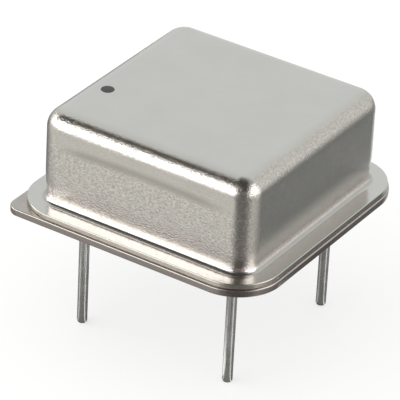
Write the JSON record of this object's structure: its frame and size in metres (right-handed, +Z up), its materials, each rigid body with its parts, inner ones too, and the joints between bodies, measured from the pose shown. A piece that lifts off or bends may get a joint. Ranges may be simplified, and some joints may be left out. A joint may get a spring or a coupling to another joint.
{
  "type": "crystal oscillator",
  "caption": "Square metal-can crystal clock oscillator with a sharp index corner, an index dot and round leads for through-hole soldering.",
  "frame": {"origin": "middle of the square of leads, in the seating plane of the glass standoffs", "axes": "+Z up through the can, away from the circuit board; the sharp index corner and lead 1 are towards -X and -Y, lead 4 towards +X and -Y, lead 5 towards +X and +Y and lead 8 towards -X and +Y"},
  "size_m": [0.0126, 0.0126, 0.0109],
  "materials": {
    "nickel_plated_cover": "satin",
    "plated_base": "satin",
    "index_ink": "matte",
    "tinned_lead": "satin",
    "sealing_glass": "gloss",
    "silver_braze": "satin",
    "alumina": "matte",
    "fired_conductor": "satin",
    "solder": "gloss",
    "silver_epoxy": "matte",
    "silicon_die": "gloss",
    "gold_wire": "gloss",
    "capacitor_ceramic": "satin",
    "tinned_end_cap": "satin",
    "quartz": "gloss",
    "silver_film": "gloss",
    "clip_strip": "satin"
  },
  "bodies": {
    "root": {"base_plate": "plated_base", "cover": "nickel_plated_cover", "index_dot": "index_ink", "lead_1": "tinned_lead", "lead_4": "tinned_lead", "lead_5": "tinned_lead", "lead_8": "tinned_lead", "glass_seal_1": "sealing_glass", "glass_seal_5": "sealing_glass", "glass_seal_8": "sealing_glass", "silver_braze_ring": "silver_braze", "substrate": "alumina", "conductor_tracks": "fired_conductor", "lead_solder": "solder", "capacitor_solder": "solder", "clip_solder": "solder", "chip_adhesive": "silver_epoxy", "blank_epoxy": "silver_epoxy", "oscillator_chip": "silicon_die", "bond_wires": "gold_wire", "capacitor_body": "capacitor_ceramic", "capacitor_caps": "tinned_end_cap", "quartz_blank": "quartz", "upper_electrode": "silver_film", "lower_electrode": "silver_film", "clip_left": "clip_strip", "clip_right": "clip_strip"}
  },
  "joints": []
}
